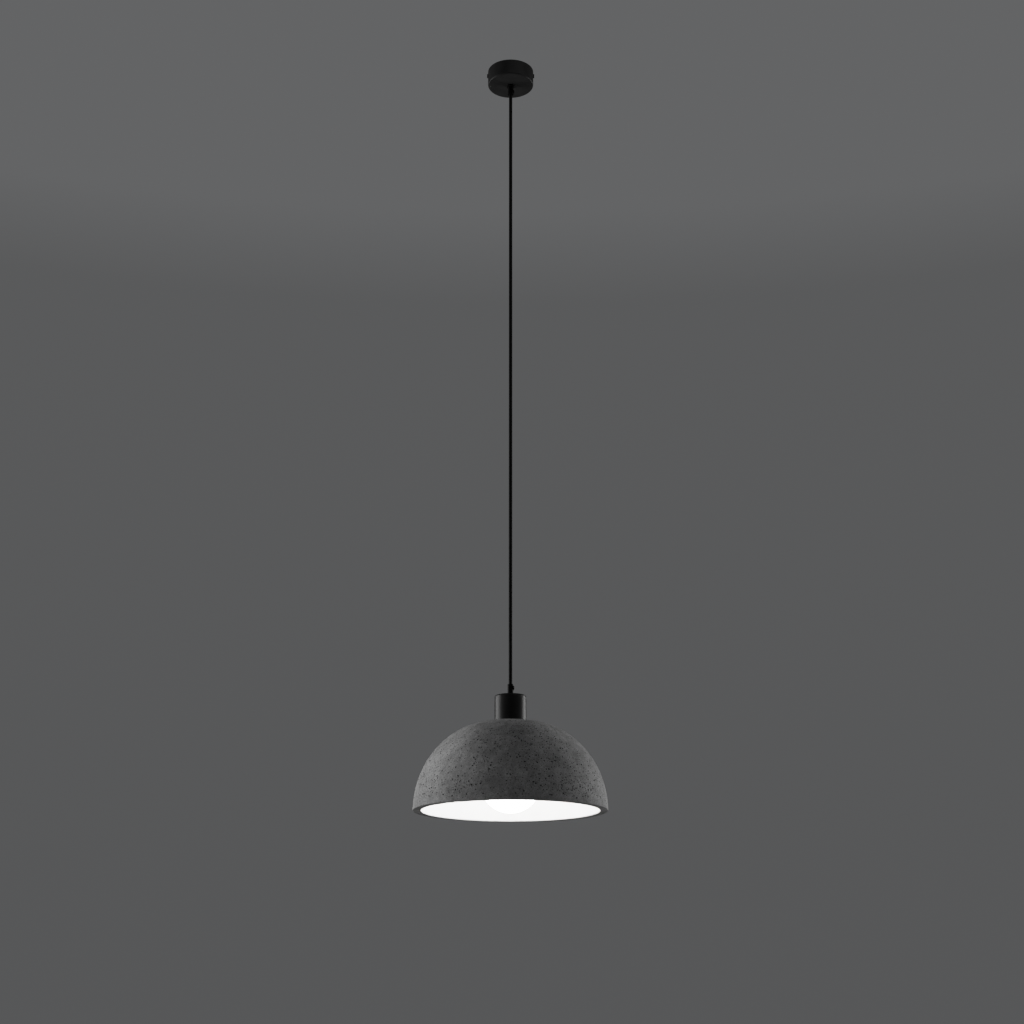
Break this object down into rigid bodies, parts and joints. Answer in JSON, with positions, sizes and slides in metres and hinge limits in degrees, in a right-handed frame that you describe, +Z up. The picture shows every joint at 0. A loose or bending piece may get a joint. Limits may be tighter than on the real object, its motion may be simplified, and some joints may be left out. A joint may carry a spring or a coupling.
{
  "type": "pendant ceiling light",
  "caption": "Pendant light: round canopy, straight cord, socket cup and a concrete dome shade around a screw-in globe bulb.",
  "frame": {"origin": "centre of the canopy in the ceiling plane", "axes": "+Z up into the ceiling, the light hangs along -Z; +X runs through the canopy's two side screws and the cord grips' clamp screws"},
  "size_m": [0.3, 0.3, 1.3025],
  "materials": {
    "black_steel": "black satin powder coat",
    "zinc_steel": "bright zinc plate",
    "brass": "plain brass",
    "white_nylon": "satin moulded",
    "black_nylon": "satin moulded",
    "cord_sheath": "smooth glossy PVC",
    "core_brown": "smooth PVC insulation",
    "core_blue": "smooth PVC insulation",
    "core_earth": "green and yellow PVC insulation",
    "concrete": "cast concrete with open pores, white coat inside",
    "fibre": "pressed fibre",
    "ceramic": "unglazed steatite",
    "cap_metal": "bright nickel-plated",
    "black_glass": "glossy vitrite",
    "opal_glass": "opal white, lit",
    "bulb_collar": "glossy white moulding",
    "board_white": "white solder mask on aluminium",
    "led_chip": "yellow phosphor",
    "board_green": "green solder mask"
  },
  "bodies": {
    "canopy": {"mounting_bracket": "zinc_steel", "earth_lug": "zinc_steel", "earth_screw": "brass", "canopy_cover": "black_steel", "canopy_screws": "black_steel", "terminal_block": "white_nylon", "terminal_sleeves": "brass", "terminal_screws": "zinc_steel", "terminal_block_screw": "zinc_steel", "upper_cord_grip": "black_nylon", "upper_clamp_screw": "black_nylon", "upper_locknut": "zinc_steel", "upper_cord_tail": "cord_sheath", "upper_live_core": "core_brown", "upper_neutral_core": "core_blue", "upper_earth_core": "core_earth"},
    "cord_bend_top": {"cord_flex_top": "cord_sheath"},
    "cord_run": {"cord": "cord_sheath"},
    "cord_bend_bottom": {"cord_flex_bottom": "cord_sheath"},
    "lamp": {"lower_cord_grip": "black_nylon", "lower_clamp_screw": "black_nylon", "lower_locknut": "zinc_steel", "lower_cord_tail": "cord_sheath", "lower_live_core": "core_brown", "lower_neutral_core": "core_blue", "lower_earth_core": "core_earth", "socket_cup": "black_steel", "shade": "concrete", "lampholder_cap": "black_steel", "lampholder_insert": "ceramic", "lampholder_terminals": "brass", "lampholder_screws": "zinc_steel", "lampholder_shell": "black_nylon", "screw_shell": "brass", "centre_contact": "brass"},
    "ring_travel": {"shade_washer": "fibre"},
    "ring": {"shade_ring": "black_nylon"},
    "bulb_travel": {"bulb_tip_contact": "cap_metal"},
    "bulb": {"bulb_insulator": "black_glass", "bulb_cap": "cap_metal", "bulb_housing": "bulb_collar", "bulb_globe": "opal_glass", "bulb_led_board": "board_white", "bulb_led_chips": "led_chip", "bulb_driver_board": "board_green", "bulb_driver_parts": "black_nylon"}
  },
  "joints": [
    {"name": "swing_side", "type": "hinge", "parent": "canopy", "child": "cord_bend_top", "pos_m": [0, 0, -0.0448], "axis": [0, 1, 0], "range_deg": [-20, 20]},
    {"name": "swing_front", "type": "hinge", "parent": "cord_bend_top", "child": "cord_run", "pos_m": [0, 0, -0.0448], "axis": [1, 0, 0], "range_deg": [-20, 20]},
    {"name": "cord_twist", "type": "hinge", "parent": "cord_run", "child": "cord_bend_bottom", "pos_m": [0, 0, -1.1037], "axis": [0, 0, 1], "range_deg": [-180, 180], "stiffness_Nm_per_rad": 0.002},
    {"name": "shade_tilt", "type": "hinge", "parent": "cord_bend_bottom", "child": "lamp", "pos_m": [0, 0, -1.1037], "axis": [1, 0, 0], "range_deg": [-15, 15]},
    {"name": "ring_drop", "type": "slide", "parent": "lamp", "child": "ring_travel", "axis": [0, 0, -1], "range_m": [0, 0.012]},
    {"name": "ring_turn", "type": "hinge", "parent": "ring_travel", "child": "ring", "pos_m": [0, 0, -1.18], "axis": [0, 0, -1], "range_deg": [0, 2160]},
    {"name": "bulb_drop", "type": "slide", "parent": "lamp", "child": "bulb_travel", "axis": [0, 0, -1], "range_m": [0, 0.01814]},
    {"name": "bulb_turn", "type": "hinge", "parent": "bulb_travel", "child": "bulb", "pos_m": [0, 0, -1.18], "axis": [0, 0, -1], "range_deg": [0, 1800]}
  ],
  "couplings": [
    {"joint": "ring_drop", "follows": "ring_turn", "m_per_rad": 0.00031831},
    {"joint": "bulb_drop", "follows": "bulb_turn", "m_per_rad": 0.00057751}
  ]
}
